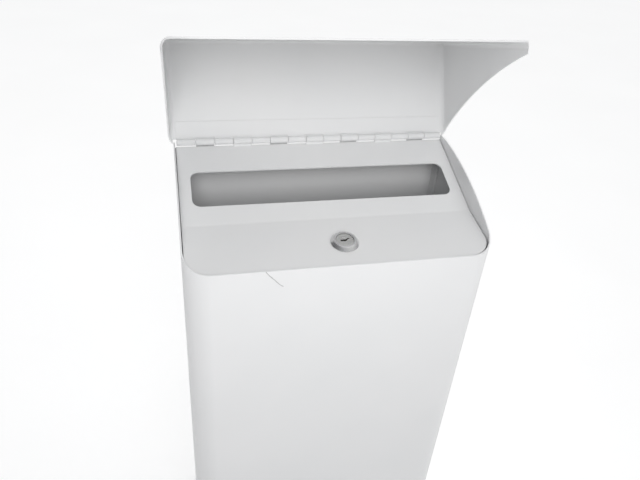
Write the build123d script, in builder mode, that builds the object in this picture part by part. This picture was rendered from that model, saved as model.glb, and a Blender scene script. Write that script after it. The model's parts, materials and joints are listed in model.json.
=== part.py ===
"""Dog waste bin: sheet-steel body, hinged slot panel with cam lock, hinged hood lid, liner.

Millimetres, +Z up. The origin is the middle of the underside of the base. The front faces -Y.
The lid, the slot panel and the body share one piano hinge across the top of the back.
Side profiles are measured from the hinge axis: back is plus, up is plus.
"""
from build123d import *
from math import asin, cos, degrees, radians, sin, tan
import os

os.makedirs("parts", exist_ok=True)

# Body
WIDTH = 300.0
DEPTH = 170.0
HINGE_HEIGHT = 560.0
SHEET = 1.5
CORNER_RADIUS = 25.0
HINGE_SETBACK = 3.6
REAR_NOTCH = 7.5
FRONT_DROP = 51.2
SIDE_TOP_REAR = (0.8, 0.8)
SIDE_TOP_MIDDLE = (-84.0, -14.0)
SIDE_TOP_FRONT = (-150.0, -44.5)

# Hinge
KNUCKLES = 15
HINGE_LENGTH = 294.0
KNUCKLE_GAP = 0.4
KNUCKLE_RADIUS = 3.5
PIN_RADIUS = 1.5
PIN_CLEARANCE = 0.05
LEAF = 1.2

# Slot panel
REAR_SLOPE = 20.08
FRONT_SLOPE = 9.4
CREASE_REACH = 100.5
PANEL_BELOW_AXIS = 3.85
PANEL_SIDE_GAP = 0.8
PANEL_FRONT_GAP = 1.0
PANEL_CORNER = 24.5
SLOT_LENGTH = 271.6
SLOT_REAR = 34.6
SLOT_FRONT = 78.1
SLOT_CORNER = 8.5

# Lid, drawn where it stands open
LID_HALF_WIDTH = 155.0
LID_LEAN = 26.5
LID_SIDE_GAP = 0.6
PLATE_START = 3.0
PLATE_TAIL = 3.5
PLATE_OFFSET = 5.0
RIDGE_REACH = 106.5
RIDGE_RADIUS = 6.0
SIDE_BEND = 8.0
RIM_CORNER_WIDTH = 28.0
RIM_CORNER_LENGTH = 15.3
SKIRT_LIP = 10.2
FRONT_RIM = (-133.3, 144.5)
SIDE_RIM_REAR = (0.6, 8.0)
SIDE_RIM_MIDDLE = (-54.0, 75.0)
SIDE_RIM_FRONT = (-121.0, 129.0)

# Lock
LOCK_X = 3.0
LOCK_REACH = 135.0
BEZEL_RADIUS = 14.0
BEZEL_HEIGHT = 4.0
BARREL_RADIUS = 9.4
BARREL_LENGTH = 16.0
PLUG_RADIUS = 6.5
PLUG_HEAD_RADIUS = 8.7
PLUG_CLEARANCE = 0.08
CAM_GAP = 0.6
CAM_LENGTH = 21.0
CAM_WIDTH = 11.0
CAM_THICKNESS = 2.0

# Front ledge and lock strike
LEDGE_LENGTH = 236.0
LEDGE_WIDTH = 11.0
LEDGE_DROP = 11.0
STRIKE_WIDTH = 34.0
STRIKE_SHEET = 1.6

# Wall fixing
FIXING_HEIGHT = 270.0
FIXING_SPACING_X = 200.0
FIXING_SPACING_Z = 360.0
FIXING_HOLE_RADIUS = 4.5
RAIL_LENGTH = 240.0
RAIL_HEIGHT = 40.0
RAIL_THICKNESS = 3.0

# Liner
LINER_LENGTH = 276.0
LINER_DEPTH = 138.0
LINER_Y = 3.0
LINER_TOP = 450.0
LINER_SHEET = 1.2
LINER_CORNER = 15.0
HANDLE_REACH = 60.0
HANDLE_HALF_WIDTH = 143.0
HANDLE_WIRE = 2.0
HANDLE_PIVOT_DROP = 14.0
GRIP_RADIUS = 6.5
GRIP_LENGTH = 90.0

HINGE_Y = DEPTH / 2 - HINGE_SETBACK
INNER_HALF = WIDTH / 2 - SHEET
FRONT_OUTSIDE = -DEPTH / 2 - HINGE_Y
FRONT_INSIDE = FRONT_OUTSIDE + SHEET
KNUCKLE_PITCH = HINGE_LENGTH / KNUCKLES
LID_KNUCKLES = range(0, KNUCKLES, 2)
BODY_KNUCKLES = range(1, KNUCKLES, 4)
PANEL_KNUCKLES = range(3, KNUCKLES, 4)
HINGE = Plane(origin=(0, HINGE_Y, HINGE_HEIGHT), x_dir=(0, 1, 0), z_dir=(1, 0, 0))


def save(piece, name):
    """Name a finished piece and write it."""
    piece.part.label = name
    export_step(piece.part, f"parts/{name}.step")


def turned(along, across, angle):
    """Side-view point given along and across a direction that rises at the angle."""
    turn = radians(angle)
    return (along * cos(turn) - across * sin(turn), along * sin(turn) + across * cos(turn))


def meet(start, angle, other_start, other_angle):
    """Where two side-view lines cross."""
    first = (cos(radians(angle)), sin(radians(angle)))
    second = (cos(radians(other_angle)), sin(radians(other_angle)))
    gap = (other_start[0] - start[0], other_start[1] - start[1])
    step = (gap[0] * second[1] - gap[1] * second[0]) / (first[0] * second[1] - first[1] * second[0])
    return (start[0] + step * first[0], start[1] + step * first[1])


def knuckle_plane(index):
    """Side-view plane through the middle of one knuckle."""
    return HINGE.offset((index + 0.5) * KNUCKLE_PITCH - HINGE_LENGTH / 2)


def knuckle_row(indices):
    """Solid knuckle barrels on the hinge axis."""
    with BuildPart() as row:
        for index in indices:
            with BuildSketch(knuckle_plane(index)):
                Circle(KNUCKLE_RADIUS)
            extrude(amount=(KNUCKLE_PITCH - KNUCKLE_GAP) / 2, both=True)
    return row.part


def hinge_rod(radius, length):
    """Round bar along the hinge axis."""
    with BuildPart() as rod:
        with BuildSketch(HINGE):
            Circle(radius)
        extrude(amount=length / 2, both=True)
    return rod.part


def panel_top(reach):
    """Height of the slot panel's top face at a reach forward of the hinge axis."""
    height = -PANEL_BELOW_AXIS / cos(radians(REAR_SLOPE))
    height -= tan(radians(REAR_SLOPE)) * min(reach, CREASE_REACH)
    height -= tan(radians(FRONT_SLOPE)) * max(reach - CREASE_REACH, 0)
    return height


LOCK = Plane(
    origin=(LOCK_X, HINGE_Y - LOCK_REACH, HINGE_HEIGHT + panel_top(LOCK_REACH)),
    x_dir=(1, 0, 0),
    z_dir=(0, -sin(radians(FRONT_SLOPE)), cos(radians(FRONT_SLOPE))),
)
LOCK_AXIS = Axis(LOCK.origin, LOCK.z_dir)
LOCK_SECTION = Plane(origin=LOCK.origin, x_dir=(1, 0, 0), z_dir=-LOCK.y_dir)


def lock_point(forward, height):
    """Side-view point forward of the lock axis and above the panel's face."""
    slope = radians(FRONT_SLOPE)
    back = -LOCK_REACH - forward * cos(slope) - height * sin(slope)
    return (back, panel_top(LOCK_REACH) - forward * sin(slope) + height * cos(slope))


def make_body_shell():
    """Front and both sides in one bent sheet, with the sides' curved top edge."""
    with BuildPart() as shell:
        with BuildSketch(Plane.XY):
            Rectangle(WIDTH, DEPTH)
            fillet(vertices().group_by(Axis.Y)[0], CORNER_RADIUS)
            with BuildSketch(mode=Mode.PRIVATE) as hollow:
                with Locations((0, SHEET)):
                    Rectangle(2 * INNER_HALF, DEPTH)
                fillet(hollow.vertices().group_by(Axis.Y)[0], CORNER_RADIUS - SHEET)
            add(hollow.sketch, mode=Mode.SUBTRACT)
        extrude(amount=HINGE_HEIGHT)
        with BuildSketch(HINGE):
            with BuildLine():
                Polyline((20, 30), (20, -REAR_NOTCH), (SIDE_TOP_REAR[0], -REAR_NOTCH), SIDE_TOP_REAR)
                ThreePointArc(SIDE_TOP_REAR, SIDE_TOP_MIDDLE, SIDE_TOP_FRONT)
                Polyline(
                    SIDE_TOP_FRONT,
                    (FRONT_OUTSIDE, -FRONT_DROP),
                    (FRONT_OUTSIDE - 20, -FRONT_DROP),
                    (FRONT_OUTSIDE - 20, 30),
                    (20, 30),
                )
            make_face()
        extrude(amount=WIDTH, both=True, mode=Mode.SUBTRACT)
    save(shell, "body_shell")


def make_back_panel():
    """Back sheet between the sides, flanged forward down each side, with the fixing holes."""
    flange = 14.0
    bottom = 2 * SHEET
    with BuildPart() as back:
        with BuildSketch(Plane.XY.offset(bottom)):
            with Locations((0, DEPTH / 2)):
                Rectangle(2 * INNER_HALF, SHEET, align=(Align.CENTER, Align.MAX))
            with Locations((-INNER_HALF, DEPTH / 2)):
                Rectangle(SHEET, flange, align=(Align.MIN, Align.MAX))
            with Locations((INNER_HALF, DEPTH / 2)):
                Rectangle(SHEET, flange, align=(Align.MAX, Align.MAX))
        extrude(amount=HINGE_HEIGHT - REAR_NOTCH - bottom)
        with BuildSketch(Plane.XY.offset(HINGE_HEIGHT)):
            with Locations((0, DEPTH / 2 - SHEET)):
                Rectangle(WIDTH, flange, align=(Align.CENTER, Align.MAX))
        extrude(amount=-24, mode=Mode.SUBTRACT)
        fillet(back.edges().filter_by(Axis.Z).group_by(Axis.Y)[-1], SHEET * 0.8)
        with BuildSketch(Plane.XZ.offset(-DEPTH / 2)):
            with Locations((0, FIXING_HEIGHT)):
                with GridLocations(FIXING_SPACING_X, FIXING_SPACING_Z, 2, 2):
                    Circle(FIXING_HOLE_RADIUS)
        extrude(amount=10, both=True, mode=Mode.SUBTRACT)
    save(back, "back_panel")


def make_fixing_rails():
    """Two flat bars inside the back that spread the pull of the fixing bolts."""
    with BuildPart() as rails:
        with BuildSketch(Plane.XZ.offset(SHEET - DEPTH / 2)):
            with Locations((0, FIXING_HEIGHT)):
                with GridLocations(1, FIXING_SPACING_Z, 1, 2):
                    RectangleRounded(RAIL_LENGTH, RAIL_HEIGHT, 5)
                with GridLocations(FIXING_SPACING_X, FIXING_SPACING_Z, 2, 2):
                    Circle(FIXING_HOLE_RADIUS, mode=Mode.SUBTRACT)
        extrude(amount=RAIL_THICKNESS)
    save(rails, "fixing_rails")


def make_base_plate():
    """Floor tray with an upturned rim and four drain holes."""
    rim = 14.0
    with BuildPart() as base:
        with BuildSketch(Plane.XY) as outline:
            with Locations((0, DEPTH / 2)):
                Rectangle(2 * INNER_HALF, DEPTH - SHEET, align=(Align.CENTER, Align.MAX))
            fillet(vertices().group_by(Axis.Y)[0], CORNER_RADIUS - SHEET)
        extrude(amount=rim)
        fillet(base.faces().sort_by(Axis.Z)[0].edges(), 1.2)
        with BuildSketch(Plane.XY.offset(SHEET)):
            with Locations((0, DEPTH / 2 - SHEET)):
                Rectangle(2 * INNER_HALF - 2 * SHEET, DEPTH - 3 * SHEET, align=(Align.CENTER, Align.MAX))
            fillet(vertices().group_by(Axis.Y)[0], CORNER_RADIUS - 2 * SHEET)
        extrude(amount=rim, mode=Mode.SUBTRACT)
        with BuildSketch(Plane.XY.offset(2 * SHEET)):
            with Locations((0, DEPTH / 2)):
                Rectangle(WIDTH, 32, align=(Align.CENTER, Align.MAX))
        extrude(amount=rim, mode=Mode.SUBTRACT)
        with BuildSketch(Plane.XY):
            with GridLocations(200, 90, 2, 2):
                Circle(4)
        extrude(amount=SHEET, mode=Mode.SUBTRACT)
    save(base, "base_plate")


def make_front_ledge():
    """Angle inside the front wall that the closed panel comes down over."""
    slope = tan(radians(FRONT_SLOPE))
    under = SHEET / cos(radians(FRONT_SLOPE)) + 0.3
    top = panel_top(-FRONT_INSIDE) - under
    with BuildPart() as ledge:
        with BuildSketch(HINGE):
            with BuildLine():
                Polyline(
                    (FRONT_INSIDE, top),
                    (FRONT_INSIDE + LEDGE_WIDTH, top + slope * LEDGE_WIDTH),
                    (FRONT_INSIDE + LEDGE_WIDTH, top + slope * LEDGE_WIDTH - SHEET),
                    (FRONT_INSIDE + SHEET, top + slope * SHEET - SHEET),
                    (FRONT_INSIDE + SHEET, top - LEDGE_DROP),
                    (FRONT_INSIDE, top - LEDGE_DROP),
                    close=True,
                )
            make_face()
        extrude(amount=LEDGE_LENGTH / 2, both=True)
    save(ledge, "front_ledge")


def make_lock_strike():
    """Angle on the front wall that the turned cam hooks under."""
    under = 0.5 - BARREL_LENGTH - CAM_GAP
    tip_low = lock_point(17, under)
    tip_high = lock_point(17, under + STRIKE_SHEET)
    slope = tan(radians(FRONT_SLOPE))
    wall_high = tip_high[1] - slope * (tip_high[0] - FRONT_INSIDE)
    bend_low = tip_low[1] - slope * (tip_low[0] - FRONT_INSIDE - STRIKE_SHEET)
    with BuildPart() as strike:
        with BuildSketch(HINGE.offset(LOCK_X)):
            with BuildLine():
                Polyline(
                    (FRONT_INSIDE, wall_high),
                    tip_high,
                    tip_low,
                    (FRONT_INSIDE + STRIKE_SHEET, bend_low),
                    (FRONT_INSIDE + STRIKE_SHEET, wall_high - 20),
                    (FRONT_INSIDE, wall_high - 20),
                    close=True,
                )
            make_face()
        extrude(amount=STRIKE_WIDTH / 2, both=True)
    save(strike, "lock_strike")


def make_slot_panel():
    """Bent panel with the deposit slot, the lock's hole and its own hinge knuckles."""
    front = -FRONT_INSIDE - PANEL_FRONT_GAP
    rear = 1.0
    rear_under = SHEET / cos(radians(REAR_SLOPE))
    front_under = SHEET / cos(radians(FRONT_SLOPE))
    crease_under = (rear_under + front_under) / 2
    with BuildPart() as panel:
        with BuildSketch(HINGE):
            with BuildLine():
                Polyline(
                    (-rear, panel_top(rear)),
                    (-CREASE_REACH, panel_top(CREASE_REACH)),
                    (-front, panel_top(front)),
                    (-front, panel_top(front) - front_under),
                    (-CREASE_REACH, panel_top(CREASE_REACH) - crease_under),
                    (-rear, panel_top(rear) - rear_under),
                    close=True,
                )
            make_face()
        extrude(amount=INNER_HALF - PANEL_SIDE_GAP, both=True)
        crease = (0, HINGE_Y - CREASE_REACH, HINGE_HEIGHT + panel_top(CREASE_REACH))
        fillet(panel.edges().sort_by_distance(crease)[0], 16)
        with BuildSketch(Plane.XY.offset(HINGE_HEIGHT)):
            with Locations((0, HINGE_Y - front)):
                Rectangle(2 * (INNER_HALF - PANEL_SIDE_GAP), DEPTH, align=(Align.CENTER, Align.MIN))
            fillet(vertices().group_by(Axis.Y)[0], PANEL_CORNER)
        extrude(amount=-100, mode=Mode.INTERSECT)
        with BuildSketch(Plane.XY.offset(HINGE_HEIGHT)):
            with Locations((0, HINGE_Y - (SLOT_REAR + SLOT_FRONT) / 2)):
                RectangleRounded(SLOT_LENGTH, SLOT_FRONT - SLOT_REAR, SLOT_CORNER)
        extrude(amount=-60, mode=Mode.SUBTRACT)
        with BuildSketch(LOCK):
            Circle(BARREL_RADIUS + 0.2)
        extrude(amount=6, both=True, mode=Mode.SUBTRACT)
        add(knuckle_row(PANEL_KNUCKLES))
        neck = [
            turned(-5.0, -PANEL_BELOW_AXIS - 0.6, REAR_SLOPE),
            turned(-2.0, -PANEL_BELOW_AXIS - 0.6, REAR_SLOPE),
            turned(1.2, -2.8, REAR_SLOPE),
            turned(-2.4, -2.2, REAR_SLOPE),
        ]
        for index in PANEL_KNUCKLES:
            with BuildSketch(knuckle_plane(index)):
                Polygon(*neck, align=None)
            extrude(amount=(KNUCKLE_PITCH - KNUCKLE_GAP) / 2, both=True)
        add(hinge_rod(PIN_RADIUS + PIN_CLEARANCE, HINGE_LENGTH), mode=Mode.SUBTRACT)
    save(panel, "slot_panel")


def make_body_leaf():
    """Hinge leaf on the inside of the back panel."""
    leaf_rear = HINGE_SETBACK - SHEET
    with BuildPart() as leaf:
        add(knuckle_row(BODY_KNUCKLES))
        for index in BODY_KNUCKLES:
            with BuildSketch(knuckle_plane(index)):
                with Locations((leaf_rear, -2.2)):
                    Rectangle(LEAF, REAR_NOTCH, align=(Align.MAX, Align.MAX))
            extrude(amount=(KNUCKLE_PITCH - KNUCKLE_GAP) / 2, both=True)
        with BuildSketch(HINGE):
            with Locations((leaf_rear, -REAR_NOTCH)):
                Rectangle(LEAF, 16, align=(Align.MAX, Align.MAX))
        extrude(amount=HINGE_LENGTH / 2 - KNUCKLE_GAP, both=True)
        add(hinge_rod(PIN_RADIUS + PIN_CLEARANCE, HINGE_LENGTH), mode=Mode.SUBTRACT)
    save(leaf, "hinge_body_leaf")


def make_lid_leaf():
    """Hinge leaf on the inside of the lid's plate."""
    tab_end = 5.0
    leaf_end = 21.5
    rise = 90 - LID_LEAN
    across = SHEET - PLATE_OFFSET + LEAF / 2
    with BuildPart() as leaf:
        add(knuckle_row(LID_KNUCKLES))
        for index in LID_KNUCKLES:
            with BuildSketch(knuckle_plane(index)):
                with Locations(turned(tab_end / 2, across, rise)):
                    Rectangle(tab_end + 0.2, LEAF, rotation=rise)
            extrude(amount=(KNUCKLE_PITCH - KNUCKLE_GAP) / 2, both=True)
        with BuildSketch(HINGE):
            with Locations(turned((tab_end + leaf_end) / 2, across, rise)):
                Rectangle(leaf_end - tab_end, LEAF, rotation=rise)
        extrude(amount=HINGE_LENGTH / 2 - KNUCKLE_GAP / 2, both=True)
        add(hinge_rod(PIN_RADIUS + PIN_CLEARANCE, HINGE_LENGTH), mode=Mode.SUBTRACT)
    save(leaf, "hinge_lid_leaf")


def make_hinge_pin():
    """One pin through all the knuckles."""
    with BuildPart() as pin:
        with BuildSketch(HINGE):
            Circle(PIN_RADIUS)
        extrude(amount=HINGE_LENGTH / 2, both=True)
        chamfer(pin.edges().filter_by(GeomType.CIRCLE), 0.3)
    save(pin, "hinge_pin")


def skirt_direction():
    """Side-view direction from the ridge to the front rim."""
    ridge = turned(RIDGE_REACH, -PLATE_OFFSET, 90 - LID_LEAN)
    return Vector(FRONT_RIM[0] - ridge[0], FRONT_RIM[1] - ridge[1]).normalized()


def lid_block(inset):
    """Solid hood under the lid's skin, every face set in by the inset."""
    rise = 90 - LID_LEAN
    outer_ridge = turned(RIDGE_REACH, -PLATE_OFFSET, rise)
    skirt = skirt_direction()
    skirt_angle = 180 - degrees(asin(skirt.Y))
    plate_start = turned(-PLATE_TAIL, inset - PLATE_OFFSET, rise)
    skirt_start = (outer_ridge[0] - inset * skirt.Y, outer_ridge[1] + inset * skirt.X)
    ridge = meet(plate_start, rise, skirt_start, skirt_angle)
    nose = (ridge[0] + 230 * skirt.X, ridge[1] + 230 * skirt.Y)
    half = LID_HALF_WIDTH - inset
    with BuildPart() as block:
        with BuildSketch(HINGE):
            Polygon(plate_start, ridge, nose, (nose[0], -40), (plate_start[0], -40), align=None)
            fillet(vertices().group_by(Axis.X)[-1], RIDGE_RADIUS - inset)
        extrude(amount=half, both=True)
        ridge_point = (0, HINGE_Y + ridge[0], HINGE_HEIGHT + ridge[1])
        for along in ((0, cos(radians(rise)), sin(radians(rise))), (0, skirt.X, skirt.Y)):
            with BuildSketch(Plane(ridge_point, x_dir=(1, 0, 0), z_dir=along)):
                Rectangle(2 * half, 600, align=(Align.CENTER, Align.MAX))
                fillet(vertices().group_by(Axis.Y)[-1], SIDE_BEND - inset)
            extrude(amount=400, both=True, mode=Mode.INTERSECT)
    return block.part


def make_lid_shell():
    """Hood lid in one skin: plate, front skirt and two cheeks cut along one sweeping rim."""
    rise = 90 - LID_LEAN
    skirt = skirt_direction()
    cut_start = turned(-PLATE_TAIL, -PLATE_OFFSET - 1, rise)
    far = 400
    past = 12
    under_rim = (FRONT_RIM[0] - SKIRT_LIP * skirt.Y, FRONT_RIM[1] + SKIRT_LIP * skirt.X)
    past_rim = (FRONT_RIM[0] + 60 * skirt.Y, FRONT_RIM[1] - 60 * skirt.X)
    skirt_plane = Plane(
        (0, HINGE_Y + FRONT_RIM[0], HINGE_HEIGHT + FRONT_RIM[1]),
        x_dir=(1, 0, 0),
        z_dir=(0, skirt.Y, -skirt.X),
    )
    corner = LID_HALF_WIDTH - RIM_CORNER_WIDTH
    with BuildPart() as lid:
        add(lid_block(0))
        add(lid_block(SHEET), mode=Mode.SUBTRACT)
        with BuildSketch(HINGE):
            with BuildLine():
                Line(cut_start, SIDE_RIM_REAR)
                ThreePointArc(SIDE_RIM_REAR, SIDE_RIM_MIDDLE, SIDE_RIM_FRONT)
                Polyline(
                    SIDE_RIM_FRONT,
                    under_rim,
                    FRONT_RIM,
                    past_rim,
                    (-far, past_rim[1]),
                    (-far, -far),
                    (cut_start[0], -far),
                    cut_start,
                )
            make_face()
        extrude(amount=WIDTH, both=True, mode=Mode.SUBTRACT)
        with BuildSketch(skirt_plane):
            with BuildLine():
                TangentArc((corner, 0), (LID_HALF_WIDTH, RIM_CORNER_LENGTH), tangent=(1, 0))
                Polyline(
                    (LID_HALF_WIDTH, RIM_CORNER_LENGTH),
                    (LID_HALF_WIDTH + past, RIM_CORNER_LENGTH),
                    (LID_HALF_WIDTH + past, -past),
                    (corner, -past),
                    (corner, 0),
                )
            make_face()
            mirror(about=Plane.YZ)
        extrude(amount=past, both=True, mode=Mode.SUBTRACT)
        with BuildSketch(HINGE):
            with Locations(turned(0, -PLATE_OFFSET, rise)):
                Rectangle(2 * PLATE_START, past, rotation=rise)
        extrude(amount=WIDTH / 2 + LID_SIDE_GAP, both=True, mode=Mode.SUBTRACT)
    save(lid, "lid_shell")


def make_lock_body():
    """Lock housing: sloped bezel on the panel and the barrel through it."""
    bore = PLUG_RADIUS + PLUG_CLEARANCE
    head_bore = PLUG_HEAD_RADIUS + PLUG_CLEARANCE
    with BuildPart() as body:
        with BuildSketch(LOCK_SECTION):
            Polygon(
                (bore, -BARREL_LENGTH),
                (BARREL_RADIUS - 0.4, -BARREL_LENGTH),
                (BARREL_RADIUS, 0.4 - BARREL_LENGTH),
                (BARREL_RADIUS, 0),
                (BEZEL_RADIUS, 0),
                (BEZEL_RADIUS, 0.8),
                (head_bore + 2.4, BEZEL_HEIGHT - 0.3),
                (head_bore + 1.4, BEZEL_HEIGHT),
                (head_bore, BEZEL_HEIGHT),
                (head_bore, 1.0),
                (bore, 1.0),
                align=None,
            )
        revolve(axis=LOCK_AXIS)
    save(body, "lock_body")


def make_lock_plug():
    """Turning plug with its keyway and the square end that drives the cam."""
    face = BEZEL_HEIGHT - 0.6
    shaft_end = 0.3 - BARREL_LENGTH - CAM_GAP
    with BuildPart() as plug:
        with BuildSketch(LOCK_SECTION):
            Polygon(
                (0, face),
                (PLUG_HEAD_RADIUS - 0.4, face),
                (PLUG_HEAD_RADIUS, face - 0.4),
                (PLUG_HEAD_RADIUS, 1.3),
                (PLUG_RADIUS, 1.3),
                (PLUG_RADIUS, shaft_end),
                (0, shaft_end),
                align=None,
            )
        revolve(axis=LOCK_AXIS)
        with BuildSketch(LOCK.offset(shaft_end)):
            Rectangle(6, 6)
        extrude(amount=-CAM_THICKNESS - 0.3)
        with BuildSketch(LOCK.offset(face)):
            Polygon(
                (-4.6, -1.3),
                (-3.4, -1.9),
                (-2.0, -1.5),
                (-0.6, -2.1),
                (0.8, -1.6),
                (1.8, -0.6),
                (2.8, 0.6),
                (4.8, 0.8),
                (4.4, 2.2),
                (3.4, 2.6),
                (2.2, 1.9),
                (1.2, 0.9),
                (0.2, 0.4),
                (-1.2, 0.6),
                (-2.4, 0.3),
                (-4.4, 0.7),
                align=None,
            )
        extrude(amount=-9, mode=Mode.SUBTRACT)
        with BuildSketch(LOCK.offset(shaft_end - CAM_THICKNESS - 0.3)):
            Circle(1.6)
        extrude(amount=8, mode=Mode.SUBTRACT)
    save(plug, "lock_plug")


def make_lock_cam():
    """Flat cam on the plug's square, pointing sideways when unlocked."""
    with BuildPart() as cam:
        with BuildSketch(LOCK.offset(-BARREL_LENGTH - CAM_GAP)):
            Circle(7.5)
            Rectangle(CAM_LENGTH, CAM_WIDTH, align=(Align.MIN, Align.CENTER))
            fillet(vertices().group_by(Axis.X)[-1], 3)
            Rectangle(6.1, 6.1, mode=Mode.SUBTRACT)
        extrude(amount=-CAM_THICKNESS)
    save(cam, "lock_cam")


def make_cam_screw():
    """Cross-slotted screw that holds the cam on the plug."""
    seat = -BARREL_LENGTH - CAM_GAP - CAM_THICKNESS - 0.05
    with BuildPart() as screw:
        with BuildSketch(LOCK.offset(seat)):
            Circle(5)
        extrude(amount=-2.6)
        fillet(screw.edges().filter_by(GeomType.CIRCLE).sort_by(Axis.Z)[0], 1)
        with BuildSketch(LOCK.offset(seat)):
            Circle(1.55)
        extrude(amount=7)
        with BuildSketch(LOCK.offset(seat - 2.6)):
            Rectangle(5, 1)
            Rectangle(1, 5)
        extrude(amount=1.4, mode=Mode.SUBTRACT)
    save(screw, "cam_screw")


def make_lock_washer():
    """Washer between the panel and the lock's nut."""
    with BuildPart() as washer:
        with BuildSketch(LOCK.offset(-SHEET - 0.05)):
            Circle(13)
            Circle(BARREL_RADIUS + 0.1, mode=Mode.SUBTRACT)
        extrude(amount=-1)
    save(washer, "lock_washer")


def make_lock_nut():
    """Hexagon nut that clamps the lock in the panel."""
    with BuildPart() as nut:
        with BuildSketch(LOCK.offset(-SHEET - 1.1)):
            RegularPolygon(12.8, 6)
            fillet(vertices(), 0.8)
            Circle(BARREL_RADIUS + 0.05, mode=Mode.SUBTRACT)
        extrude(amount=-4)
    save(nut, "lock_nut")


def pivot_rod(radius):
    """Round bar along the liner handle's pivots."""
    with BuildPart() as rod:
        with BuildSketch(Plane(HANDLE_PIVOT, x_dir=(0, 1, 0), z_dir=(1, 0, 0))):
            Circle(radius)
        extrude(amount=WIDTH / 2, both=True)
    return rod.part


def make_liner():
    """Lift-out bucket with a doubled rim."""
    with BuildPart() as liner:
        with BuildSketch(Plane.XY.offset(SHEET)):
            with Locations((0, LINER_Y)):
                RectangleRounded(LINER_LENGTH, LINER_DEPTH, LINER_CORNER)
        extrude(amount=LINER_TOP - SHEET)
        with BuildSketch(Plane.XY.offset(LINER_TOP)):
            with Locations((0, LINER_Y)):
                RectangleRounded(LINER_LENGTH + 3, LINER_DEPTH + 3, LINER_CORNER + 1.5)
        extrude(amount=-9)
        fillet(liner.faces().sort_by(Axis.Z)[-1].edges(), 0.7)
        with BuildSketch(Plane.XY.offset(SHEET + LINER_SHEET)):
            with Locations((0, LINER_Y)):
                RectangleRounded(
                    LINER_LENGTH - 2 * LINER_SHEET,
                    LINER_DEPTH - 2 * LINER_SHEET,
                    LINER_CORNER - LINER_SHEET,
                )
        extrude(amount=LINER_TOP, mode=Mode.SUBTRACT)
        add(pivot_rod(HANDLE_WIRE + 0.05), mode=Mode.SUBTRACT)
    save(liner, "liner")


HANDLE_PIVOT = (0, LINER_Y, LINER_TOP - HANDLE_PIVOT_DROP)
HANDLE_RISE = degrees(asin((HANDLE_PIVOT_DROP + HANDLE_WIRE + 0.5) / HANDLE_REACH))
HANDLE_WAY = (0, cos(radians(HANDLE_RISE)), sin(radians(HANDLE_RISE)))


def make_liner_ears():
    """Two small plates that stiffen the liner around the handle's pivots."""
    with BuildPart() as ears:
        for side in (-1, 1):
            with BuildSketch(Plane((side * LINER_LENGTH / 2, LINER_Y, HANDLE_PIVOT[2]), z_dir=(side, 0, 0))):
                SlotOverall(30, 8.5, rotation=90)
            extrude(amount=1.5)
        add(pivot_rod(HANDLE_WIRE + 0.05), mode=Mode.SUBTRACT)
    save(ears, "liner_ears")


def make_liner_handle():
    """Bent-wire bail handle, hooked into the liner's sides and lying on its rim."""
    handle_plane = Plane(HANDLE_PIVOT, x_dir=(1, 0, 0), z_dir=(0, -HANDLE_WAY[2], HANDLE_WAY[1]))
    hook = LINER_LENGTH / 2 - 5
    with BuildPart() as handle:
        with BuildLine(handle_plane) as path:
            FilletPolyline(
                (-hook, 0),
                (-HANDLE_HALF_WIDTH, 0),
                (-HANDLE_HALF_WIDTH, HANDLE_REACH),
                (HANDLE_HALF_WIDTH, HANDLE_REACH),
                (HANDLE_HALF_WIDTH, 0),
                (hook, 0),
                radius=2.6,
            )
        with BuildSketch(Plane(path.line @ 0, z_dir=path.line % 0)):
            Circle(HANDLE_WIRE)
        sweep()
    save(handle, "liner_handle")


def make_handle_grip():
    """Tube grip round the middle of the handle."""
    middle = Vector(*HANDLE_PIVOT) + Vector(*HANDLE_WAY) * HANDLE_REACH
    with BuildPart() as grip:
        with BuildSketch(Plane(middle, z_dir=(1, 0, 0))):
            Circle(GRIP_RADIUS)
        extrude(amount=GRIP_LENGTH / 2, both=True)
        fillet(grip.edges().filter_by(GeomType.CIRCLE), 1.5)
        with BuildSketch(Plane(middle, z_dir=(1, 0, 0))):
            Circle(HANDLE_WIRE + 0.05)
        extrude(amount=GRIP_LENGTH, both=True, mode=Mode.SUBTRACT)
    save(grip, "handle_grip")


make_body_shell()
make_back_panel()
make_fixing_rails()
make_base_plate()
make_front_ledge()
make_lock_strike()
make_slot_panel()
make_body_leaf()
make_lid_leaf()
make_hinge_pin()
make_lid_shell()
make_lock_body()
make_lock_plug()
make_lock_cam()
make_cam_screw()
make_lock_washer()
make_lock_nut()
make_liner()
make_liner_ears()
make_liner_handle()
make_handle_grip()
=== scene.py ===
"""Looks of the dog waste bin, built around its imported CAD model.

Metres, +Z up, front towards -Y.
"""

import json
from math import cos, pi, radians, sin

import bmesh
import bpy
from mathutils import Matrix, Vector


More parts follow.
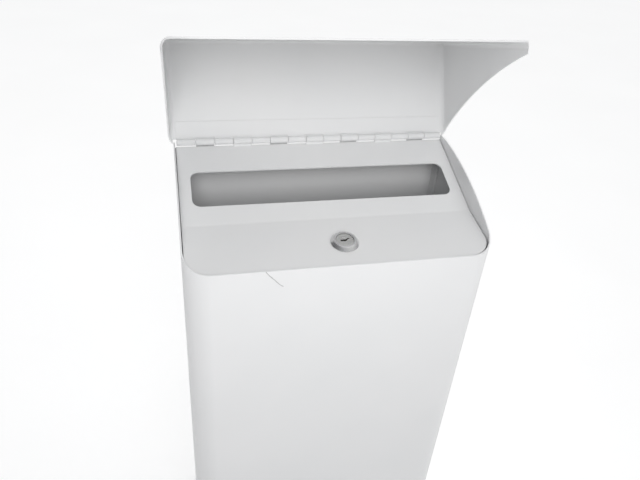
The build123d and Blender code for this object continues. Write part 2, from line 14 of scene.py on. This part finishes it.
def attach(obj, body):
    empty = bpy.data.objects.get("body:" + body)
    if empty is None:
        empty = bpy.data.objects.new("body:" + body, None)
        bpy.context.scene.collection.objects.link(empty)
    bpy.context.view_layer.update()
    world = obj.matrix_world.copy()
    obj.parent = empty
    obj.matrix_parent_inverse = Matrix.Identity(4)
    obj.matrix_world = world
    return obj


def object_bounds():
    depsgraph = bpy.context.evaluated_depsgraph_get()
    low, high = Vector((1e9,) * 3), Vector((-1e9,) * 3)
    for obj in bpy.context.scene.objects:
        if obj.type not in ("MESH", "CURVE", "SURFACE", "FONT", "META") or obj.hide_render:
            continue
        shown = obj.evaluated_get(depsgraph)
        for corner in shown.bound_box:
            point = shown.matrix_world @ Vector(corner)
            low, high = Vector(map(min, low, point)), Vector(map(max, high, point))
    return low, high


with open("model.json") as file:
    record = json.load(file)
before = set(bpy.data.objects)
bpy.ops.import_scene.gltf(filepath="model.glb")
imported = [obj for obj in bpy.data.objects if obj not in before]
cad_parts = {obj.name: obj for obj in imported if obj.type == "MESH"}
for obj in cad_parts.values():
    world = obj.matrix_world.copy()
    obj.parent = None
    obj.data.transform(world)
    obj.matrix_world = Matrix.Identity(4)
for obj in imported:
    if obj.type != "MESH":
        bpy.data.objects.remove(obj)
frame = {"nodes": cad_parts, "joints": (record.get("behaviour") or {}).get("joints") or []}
CAD_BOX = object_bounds()
NODES = frame["nodes"]
JOINTS = {joint["name"]: joint for joint in frame["joints"]}

MM = 0.001

# Camera, measured from the middle of the hinge
CAMERA_FROM_HINGE = Vector((-0.1490, -0.5914, 0.2693))
CAMERA_HEADING = radians(15.6)
CAMERA_PITCH = radians(33.3)
CAMERA_ROLL = radians(-4.9)
CAMERA_LENS = 33.86
SENSOR = 36.0

# Hairline in the paint of the front wall: x and z of its bends, from the top edge down
HAIRLINE = ((-0.0775, 0.5085), (-0.0725, 0.5030), (-0.0675, 0.4970), (-0.0615, 0.4912))
HAIRLINE_WIDTH = 0.35 * MM
HAIRLINE_WANDER = 0.5 * MM
FRONT_DEPTH = 2 * MM  # the hairline is only on what lies this near the front

# Light: the surroundings' strength low down and high up, and the lamps
WORLD_LOW = 0.35
WORLD_HIGH = 1.12
KEY_STRENGTH = 0.14
KEY_SPREAD = radians(38)
KEY_RISE = radians(24)
KEY_SIDE = radians(14)
TOP_POWER = 5
FILL_POWER = 0.64
FILL_BEAM = radians(60)

# Floor
FLOOR_SIZE = 12
FLOOR_GAP = 0.3 * MM
FLOOR_GLOW = 0.43

# Rounding of the CAD nodes' edges
WELD_REACH = 0.005 * MM
LOCK_EDGE = 0.12 * MM
SHEET_EDGE = 0.3 * MM
SHARP_ANGLE = radians(34)

# Keyway wafers and index mark, in the lock's frame; the plug's face is at 3.4 mm
WAFERS = 5
WAFER_HALF_LENGTH = 4.9 * MM
WAFER_HALF_WIDTH = 2.5 * MM
WAFER_TOP = 3.0 * MM
WAFER_STEP = 1.1 * MM
WAFER_THICKNESS = 0.5 * MM
WAFER_STAGGER = 0.12 * MM
PIP_PLACE = (1.0 * MM, -9.6 * MM, 3.95 * MM)
PIP_RADIUS = 0.75 * MM
PIP_FLATNESS = 0.45

# Places of the Mix node's colour sockets, which share their names with its others
MIX_FIRST, MIX_SECOND, MIX_RESULT = 6, 7, 2

PAINTED = ("back_panel", "base_plate", "front_ledge", "slot_panel", "hinge_body_leaf",
           "hinge_lid_leaf", "lid_shell")
ZINC_PLATED = ("lock_strike", "hinge_pin", "lock_cam", "cam_screw", "lock_washer", "lock_nut",
               "liner_handle", "fixing_rails")
GALVANISED = ("liner", "liner_ears")


# Shader helpers

def new_material(name):
    """New material, its node tree and its Principled shader."""
    material = bpy.data.materials.new(name)
    material.use_nodes = True
    tree = material.node_tree
    return material, tree, tree.nodes["Principled BSDF"]


def object_coordinates(tree):
    """Position in the object's own frame."""
    return tree.nodes.new("ShaderNodeTexCoord").outputs["Object"]


def stretched(tree, vector, scale):
    """Coordinates scaled by a triple."""
    mapping = tree.nodes.new("ShaderNodeMapping")
    mapping.inputs["Scale"].default_value = scale
    tree.links.new(vector, mapping.inputs["Vector"])
    return mapping.outputs["Vector"]


def noise(tree, vector, scale, detail):
    """Value of a noise texture, about 0.5 on average."""
    texture = tree.nodes.new("ShaderNodeTexNoise")
    texture.inputs["Scale"].default_value = scale
    texture.inputs["Detail"].default_value = detail
    tree.links.new(vector, texture.inputs["Vector"])
    return texture.outputs["Fac"]


def cells(tree, vector, scale):
    """A random grey for each cell of a Voronoi pattern."""
    texture = tree.nodes.new("ShaderNodeTexVoronoi")
    texture.inputs["Scale"].default_value = scale
    tree.links.new(vector, texture.inputs["Vector"])
    return texture.outputs["Color"]


def spread(tree, value, low, high, start=0.3, end=0.7):
    """Map a value from start..end to low..high."""
    ranged = tree.nodes.new("ShaderNodeMapRange")
    ranged.inputs["From Min"].default_value = start
    ranged.inputs["From Max"].default_value = end
    ranged.inputs["To Min"].default_value = low
    ranged.inputs["To Max"].default_value = high
    tree.links.new(value, ranged.inputs["Value"])
    return ranged.outputs["Result"]


def ramp(tree, value, *stops):
    """Colour ramp through (place, colour) stops."""
    node = tree.nodes.new("ShaderNodeValToRGB")
    elements = node.color_ramp.elements
    while len(elements) < len(stops):
        elements.new(0.5)
    for element, (place, colour) in zip(elements, stops):
        element.position = place
        element.color = (*colour, 1)
    tree.links.new(value, node.inputs["Fac"])
    return node.outputs["Color"]


def math(tree, operation, first, second):
    """One maths node; each input is a number or a socket."""
    node = tree.nodes.new("ShaderNodeMath")
    node.operation = operation
    for socket, value in zip(node.inputs, (first, second)):
        if isinstance(value, (int, float)):
            socket.default_value = value
        else:
            tree.links.new(value, socket)
    return node.outputs["Value"]


def summed_products(tree, first, second):
    """Sum of two products, each given as a pair of factors."""
    return math(tree, "ADD", math(tree, "MULTIPLY", *first), math(tree, "MULTIPLY", *second))


def bump(tree, height, strength, distance, under=None):
    """Bump from a height, on top of another bump's normal."""
    node = tree.nodes.new("ShaderNodeBump")
    node.inputs["Strength"].default_value = strength
    node.inputs["Distance"].default_value = distance
    tree.links.new(height, node.inputs["Height"])
    if under is not None:
        tree.links.new(under, node.inputs["Normal"])
    return node.outputs["Normal"]


def blend_colours(tree, amount, first, second):
    """Mix two colour sockets."""
    node = tree.nodes.new("ShaderNodeMix")
    node.data_type = "RGBA"
    tree.links.new(amount, node.inputs["Factor"])
    tree.links.new(first, node.inputs[MIX_FIRST])
    tree.links.new(second, node.inputs[MIX_SECOND])
    return node.outputs[MIX_RESULT]


# Materials

def powder_coat(name, light, dark, hairline=False):
    """White powder coat: faint clouds, orange peel, uneven gloss and, if asked, the hairline."""
    material, tree, shader = new_material(name)
    place = object_coordinates(tree)
    clouds = noise(tree, place, scale=7, detail=3)
    colour = ramp(tree, clouds, (0.3, dark), (0.7, light))
    peel = noise(tree, place, scale=620, detail=2)
    waves = noise(tree, place, scale=60, detail=2)
    normal = bump(tree, waves, strength=0.10, distance=0.4 * MM)
    normal = bump(tree, peel, strength=0.16, distance=0.12 * MM, under=normal)
    if hairline:
        mark = hairline_mask(tree, place)
        grey = ramp(tree, clouds, (0.0, (0.42, 0.42, 0.42)), (1.0, (0.46, 0.46, 0.46)))
        colour = blend_colours(tree, mark, colour, grey)
        groove = math(tree, "SUBTRACT", 1.0, mark)
        normal = bump(tree, groove, strength=0.6, distance=0.3 * MM, under=normal)
    tree.links.new(colour, shader.inputs["Base Color"])
    gloss = noise(tree, place, scale=24, detail=4)
    tree.links.new(spread(tree, gloss, 0.30, 0.42), shader.inputs["Roughness"])
    tree.links.new(normal, shader.inputs["Normal"])
    shader.inputs["IOR"].default_value = 1.5
    return material


def hairline_mask(tree, place):
    """1 on a thin bent line on the front wall, 0 elsewhere."""
    split = tree.nodes.new("ShaderNodeSeparateXYZ")
    tree.links.new(place, split.inputs["Vector"])
    shake = noise(tree, place, scale=250, detail=2)
    wander = spread(tree, shake, -HAIRLINE_WANDER, HAIRLINE_WANDER)
    across = math(tree, "ADD", split.outputs["X"], wander)
    up = split.outputs["Z"]
    nearest = None
    for (x0, z0), (x1, z1) in zip(HAIRLINE, HAIRLINE[1:]):
        run = Vector((x1 - x0, z1 - z0))
        from_x = math(tree, "SUBTRACT", across, x0)
        from_z = math(tree, "SUBTRACT", up, z0)
        along = summed_products(tree, (from_x, run.x), (from_z, run.y))
        share = math(tree, "MULTIPLY", along, 1 / run.length_squared)
        share = math(tree, "MINIMUM", math(tree, "MAXIMUM", share, 0.0), 1.0)
        off_x = math(tree, "SUBTRACT", from_x, math(tree, "MULTIPLY", share, run.x))
        off_z = math(tree, "SUBTRACT", from_z, math(tree, "MULTIPLY", share, run.y))
        squares = summed_products(tree, (off_x, off_x), (off_z, off_z))
        away = math(tree, "SQRT", squares, 0.0)
        nearest = away if nearest is None else math(tree, "MINIMUM", nearest, away)
    line = spread(tree, nearest, 1, 0, 0.5 * HAIRLINE_WIDTH, 1.6 * HAIRLINE_WIDTH)
    front = math(tree, "LESS_THAN", split.outputs["Y"], CAD_BOX[0][1] + FRONT_DEPTH)
    return math(tree, "MULTIPLY", line, front)


def galvanised_sheet():
    """Zinc spangle: flat crystals of slightly different greys."""
    material, tree, shader = new_material("galvanised_sheet")
    place = object_coordinates(tree)
    taller = stretched(tree, place, (1.0, 1.0, 0.8))
    large = cells(tree, taller, scale=95)
    small = cells(tree, taller, scale=260)
    mixed = blend_colours(tree, noise(tree, place, scale=40, detail=3), large, small)
    grey = tree.nodes.new("ShaderNodeRGBToBW")
    tree.links.new(mixed, grey.inputs["Color"])
    value = grey.outputs["Val"]
    colour = ramp(tree, value, (0.2, (0.50, 0.53, 0.56)), (0.8, (0.70, 0.73, 0.76)))
    tree.links.new(colour, shader.inputs["Base Color"])
    roughness = spread(tree, value, 0.36, 0.55, start=0.2, end=0.8)
    tree.links.new(roughness, shader.inputs["Roughness"])
    normal = bump(tree, value, strength=0.12, distance=0.1 * MM)
    tree.links.new(normal, shader.inputs["Normal"])
    shader.inputs["Metallic"].default_value = 0.6
    return material


def plated(name, light, dark, smooth, rough, scratches):
    """Plated or polished metal with fine drawn scratches and a little haze."""
    material, tree, shader = new_material(name)
    place = object_coordinates(tree)
    haze = noise(tree, place, scale=90, detail=4)
    drawn = noise(tree, stretched(tree, place, (60, 2200, 2200)), scale=1, detail=3)
    colour = ramp(tree, haze, (0.3, dark), (0.7, light))
    tree.links.new(colour, shader.inputs["Base Color"])
    tree.links.new(spread(tree, haze, smooth, rough), shader.inputs["Roughness"])
    normal = bump(tree, drawn, strength=scratches, distance=0.05 * MM)
    tree.links.new(normal, shader.inputs["Normal"])
    shader.inputs["Metallic"].default_value = 1.0
    return material


def moulded_black():
    """Black grip plastic with a fine spark-eroded grain."""
    material, tree, shader = new_material("moulded_black")
    place = object_coordinates(tree)
    grain = noise(tree, place, scale=1500, detail=3)
    patches = noise(tree, place, scale=120, detail=3)
    colour = ramp(tree, patches, (0.3, (0.022, 0.022, 0.024)), (0.7, (0.04, 0.04, 0.042)))
    tree.links.new(colour, shader.inputs["Base Color"])
    tree.links.new(spread(tree, grain, 0.5, 0.65), shader.inputs["Roughness"])
    normal = bump(tree, grain, strength=0.3, distance=0.1 * MM)
    tree.links.new(normal, shader.inputs["Normal"])
    return material


def painted_keyway_shade():
    """Painted shade: near-black wafers in the keyway, a little brown like brass in shadow."""
    material, tree, shader = new_material("keyway_painted_shade")
    place = object_coordinates(tree)
    streaks = noise(tree, stretched(tree, place, (3000, 400, 400)), scale=1, detail=2)
    colour = ramp(tree, streaks, (0.35, (0.006, 0.005, 0.004)), (0.7, (0.03, 0.025, 0.015)))
    tree.links.new(colour, shader.inputs["Base Color"])
    shader.inputs["Roughness"].default_value = 0.7
    return material


def give(names, material):
    """Put one material on several CAD nodes."""
    for name in names:
        data = NODES[name].data
        data.materials.clear()
        data.materials.append(material)


def dress_nodes():
    """Materials and small edge rounding for all the CAD nodes."""
    give(PAINTED, powder_coat("white_powder_coat",
                              light=(0.80, 0.80, 0.80), dark=(0.77, 0.775, 0.78)))
    give(("body_shell",), powder_coat("white_powder_coat_front", light=(0.80, 0.80, 0.805),
                                      dark=(0.77, 0.775, 0.78), hairline=True))
    give(ZINC_PLATED, plated("zinc_plate", light=(0.72, 0.73, 0.74), dark=(0.60, 0.61, 0.63),
                             smooth=0.28, rough=0.42, scratches=0.25))
    give(GALVANISED, galvanised_sheet())
    give(("lock_body",), plated("lock_chrome", light=(0.84, 0.84, 0.84), dark=(0.70, 0.70, 0.71),
                                smooth=0.12, rough=0.24, scratches=0.10))
    give(("lock_plug",), plated("plug_nickel", light=(0.80, 0.795, 0.78), dark=(0.68, 0.675, 0.66),
                                smooth=0.24, rough=0.38, scratches=0.25))
    give(("handle_grip",), moulded_black())
    for name, node in NODES.items():
        node.data.shade_smooth()
        weld = node.modifiers.new("weld", "WELD")
        weld.merge_threshold = WELD_REACH
        soften = node.modifiers.new("edges", "BEVEL")
        soften.width = LOCK_EDGE if name.startswith(("lock", "cam")) else SHEET_EDGE
        soften.segments = 2
        soften.limit_method = "ANGLE"
        soften.angle_limit = SHARP_ANGLE
        even = node.modifiers.new("normals", "WEIGHTED_NORMAL")
        even.keep_sharp = False
        even.weight = 80


# Added pieces

def lock_matrix():
    """Frame of the lock: X across, Z out of the panel, origin on the panel's face."""
    turn = JOINTS["lock_turn"]
    out = -Vector(turn["axis"]).normalized()
    across = Vector((1, 0, 0))
    back = out.cross(across)
    matrix = Matrix((across, back, out)).transposed().to_4x4()
    matrix.translation = Vector(turn["pos_m"])
    return matrix


def mesh_piece(name, build, material, body, place, smooth=True):
    """New piece: build(bm) fills a bmesh, then it is placed, dressed and made to ride."""
    bm = bmesh.new()
    build(bm)
    bm.transform(place)
    bmesh.ops.recalc_face_normals(bm, faces=bm.faces)
    data = bpy.data.meshes.new(name)
    bm.to_mesh(data)
    bm.free()
    if smooth:
        data.shade_smooth()
    data.materials.append(material)
    piece = bpy.data.objects.new(name, data)
    bpy.context.scene.collection.objects.link(piece)
    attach(piece, body)
    return piece


def keyway_wafers(bm):
    """Stack of thin wafers, the first just under the plug's face.

    They run into the plug's metal on both sides and are painted near-black as shade,
    so the keyway looks black whatever its shape.
    """
    for step in range(WAFERS):
        height = WAFER_TOP - step * WAFER_STEP
        sideways = WAFER_STAGGER if step % 2 else -WAFER_STAGGER
        corners = [
            bm.verts.new((x * WAFER_HALF_LENGTH, y * WAFER_HALF_WIDTH + sideways,
                          height - z * WAFER_THICKNESS))
            for z in (0, 1) for x, y in ((-1, -1), (1, -1), (1, 1), (-1, 1))
        ]
        upper, lower = corners[:4], corners[4:]
        bm.faces.new(upper)
        bm.faces.new(list(reversed(lower)))
        for i in range(4):
            after = (i + 1) % 4
            bm.faces.new((upper[i], upper[after], lower[after], lower[i]))


def index_pip(bm):
    """Small dome pressed into the bezel's rim as the index mark, with a painted highlight."""
    bmesh.ops.create_uvsphere(bm, u_segments=16, v_segments=10, radius=PIP_RADIUS)
    bmesh.ops.scale(bm, vec=(1, 1, PIP_FLATNESS), verts=bm.verts)


def add_lock_details():
    """Keyway wafers in painted shade, and the index mark on the bezel with a painted highlight."""
    base = lock_matrix()
    # The wafers carry painted shade, so the keyway reads dark.
    mesh_piece("keyway_wafers", keyway_wafers, painted_keyway_shade(), "lock_core", base,
               smooth=False)
    # Painted highlight: the pip's chrome is brighter and smoother than the bezel's, standing for a
    # glint.
    pip_highlight = plated("pip_painted_highlight", light=(0.92, 0.92, 0.92), dark=(0.85, 0.85, 0.85),
                    smooth=0.05, rough=0.12, scratches=0.05)
    mesh_piece("lock_index_pip", index_pip, pip_highlight, "panel",
               base @ Matrix.Translation(PIP_PLACE))


# Stage, lights and camera

def add_floor():
    """Pale floor. It fills the main view; low views show the surroundings beyond its edge."""
    bm = bmesh.new()
    bmesh.ops.create_grid(bm, x_segments=2, y_segments=2, size=FLOOR_SIZE)
    data = bpy.data.meshes.new("floor")
    bm.to_mesh(data)
    bm.free()
    material, tree, shader = new_material("pale_floor")
    place = object_coordinates(tree)
    patches = noise(tree, place, scale=3, detail=3)
    colour = ramp(tree, patches, (0.3, (0.955, 0.955, 0.955)), (0.7, (0.97, 0.97, 0.97)))
    tree.links.new(colour, shader.inputs["Base Color"])
    shader.inputs["Roughness"].default_value = 0.9
    shader.inputs["Specular IOR Level"].default_value = 0.1
    tree.links.new(colour, shader.inputs["Emission Color"])
    shader.inputs["Emission Strength"].default_value = FLOOR_GLOW
    data.materials.append(material)
    floor = bpy.data.objects.new("floor", data)
    floor.location.z = CAD_BOX[0][2] - FLOOR_GAP
    bpy.context.scene.collection.objects.link(floor)


def add_soft_light(name, place, target, size, power, beam=pi):
    """Square area light that looks at the target and makes no highlight of its own."""
    data = bpy.data.lights.new(name, "AREA")
    data.size = size
    data.energy = power
    data.spread = beam
    light = bpy.data.objects.new(name, data)
    light.location = place
    light.rotation_euler = (target - Vector(place)).to_track_quat("-Z", "Y").to_euler()
    light.visible_glossy = False
    bpy.context.scene.collection.objects.link(light)


def add_lights():
    """Surroundings that darken to the left and downwards, and three lamps.

    The key is a soft, low sun from the front, a little to the right. The other two hang
    overhead and in front of the hood.
    """
    world = bpy.data.worlds.new("studio")
    world.use_nodes = True
    tree = world.node_tree
    split = tree.nodes.new("ShaderNodeSeparateXYZ")
    direction = tree.nodes.new("ShaderNodeTexCoord").outputs["Generated"]
    tree.links.new(direction, split.inputs["Vector"])
    sideways = spread(tree, split.outputs["X"], 0, 1, start=-1, end=1)
    glow = ramp(tree, sideways, (0.0, (0.12, 0.12, 0.125)), (0.45, (0.56, 0.565, 0.57)),
                (1.0, (0.80, 0.80, 0.80)))
    background = tree.nodes["Background"]
    tree.links.new(glow, background.inputs["Color"])
    strength = spread(tree, split.outputs["Z"], WORLD_LOW, WORLD_HIGH, start=0.0, end=0.8)
    tree.links.new(strength, background.inputs["Strength"])
    bpy.context.scene.world = world
    key = bpy.data.lights.new("key", "SUN")
    key.angle = KEY_SPREAD
    key.energy = KEY_STRENGTH
    light = bpy.data.objects.new("key", key)
    to_light = Vector((sin(KEY_SIDE) * cos(KEY_RISE), -cos(KEY_SIDE) * cos(KEY_RISE),
                       sin(KEY_RISE)))
    light.rotation_euler = to_light.to_track_quat("Z", "Y").to_euler()
    light.visible_glossy = False
    bpy.context.scene.collection.objects.link(light)
    add_soft_light("top", place=(0.3, -0.2, 3.2), target=Vector((0, 0, 0.4)),
                   size=2.6, power=TOP_POWER)
    add_soft_light("hood_fill", place=(-0.12, -0.80, 1.02), target=Vector((0, 0.06, 0.60)),
                   size=0.5, power=FILL_POWER, beam=FILL_BEAM)


def add_camera():
    """Camera in front and to the left, above the bin, looking down at the open hood."""
    hinge = Vector(JOINTS["panel_hinge"]["pos_m"])
    heading, pitch, roll = CAMERA_HEADING, CAMERA_PITCH, CAMERA_ROLL
    ahead = Vector((sin(heading) * cos(pitch), cos(heading) * cos(pitch), -sin(pitch)))
    level = Vector((cos(heading), -sin(heading), 0))
    down = ahead.cross(level)
    right = cos(roll) * level + sin(roll) * down
    up = sin(roll) * level - cos(roll) * down
    data = bpy.data.cameras.new("camera")
    data.sensor_width = SENSOR
    data.lens = CAMERA_LENS
    camera = bpy.data.objects.new("camera", data)
    matrix = Matrix((right, up, -ahead)).transposed().to_4x4()
    matrix.translation = hinge + CAMERA_FROM_HINGE
    camera.matrix_world = matrix
    bpy.context.scene.collection.objects.link(camera)
    bpy.context.scene.camera = camera


dress_nodes()
add_lock_details()
add_floor()
add_lights()
add_camera()
bpy.context.scene.view_settings.view_transform = "Standard"
